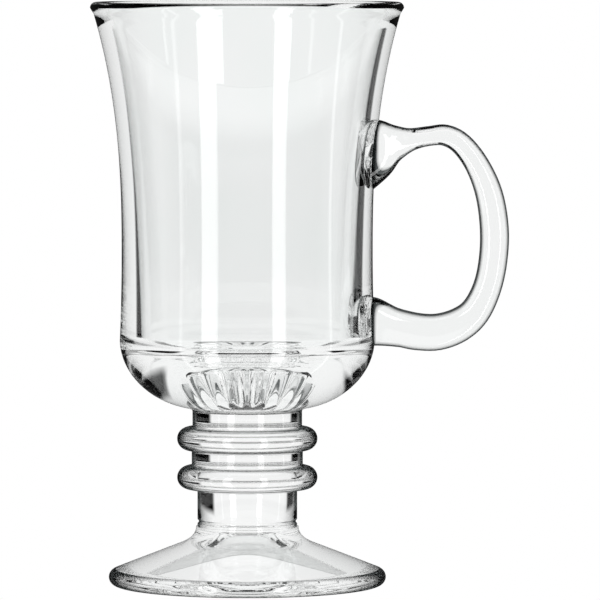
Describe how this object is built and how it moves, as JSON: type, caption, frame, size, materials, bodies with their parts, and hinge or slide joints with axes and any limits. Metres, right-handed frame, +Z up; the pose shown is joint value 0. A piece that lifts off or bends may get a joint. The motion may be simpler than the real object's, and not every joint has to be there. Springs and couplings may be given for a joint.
{
  "type": "irish coffee mug",
  "caption": "Footed clear glass mug for hot coffee, with a flared bowl on a ringed stem, a fluted well in its floor, a sloping foot and a loop handle.",
  "frame": {"origin": "centre of the foot's underside, on the axis of the bowl", "axes": "+Z up along the axis of the bowl, +X towards the handle, +Y away from the viewer of the picture"},
  "size_m": [0.106, 0.0794, 0.1479],
  "materials": {
    "clear_glass": "clear, fire polished"
  },
  "bodies": {
    "root": {"bowl": "clear_glass", "stem": "clear_glass", "foot": "clear_glass", "handle": "clear_glass"}
  },
  "joints": []
}
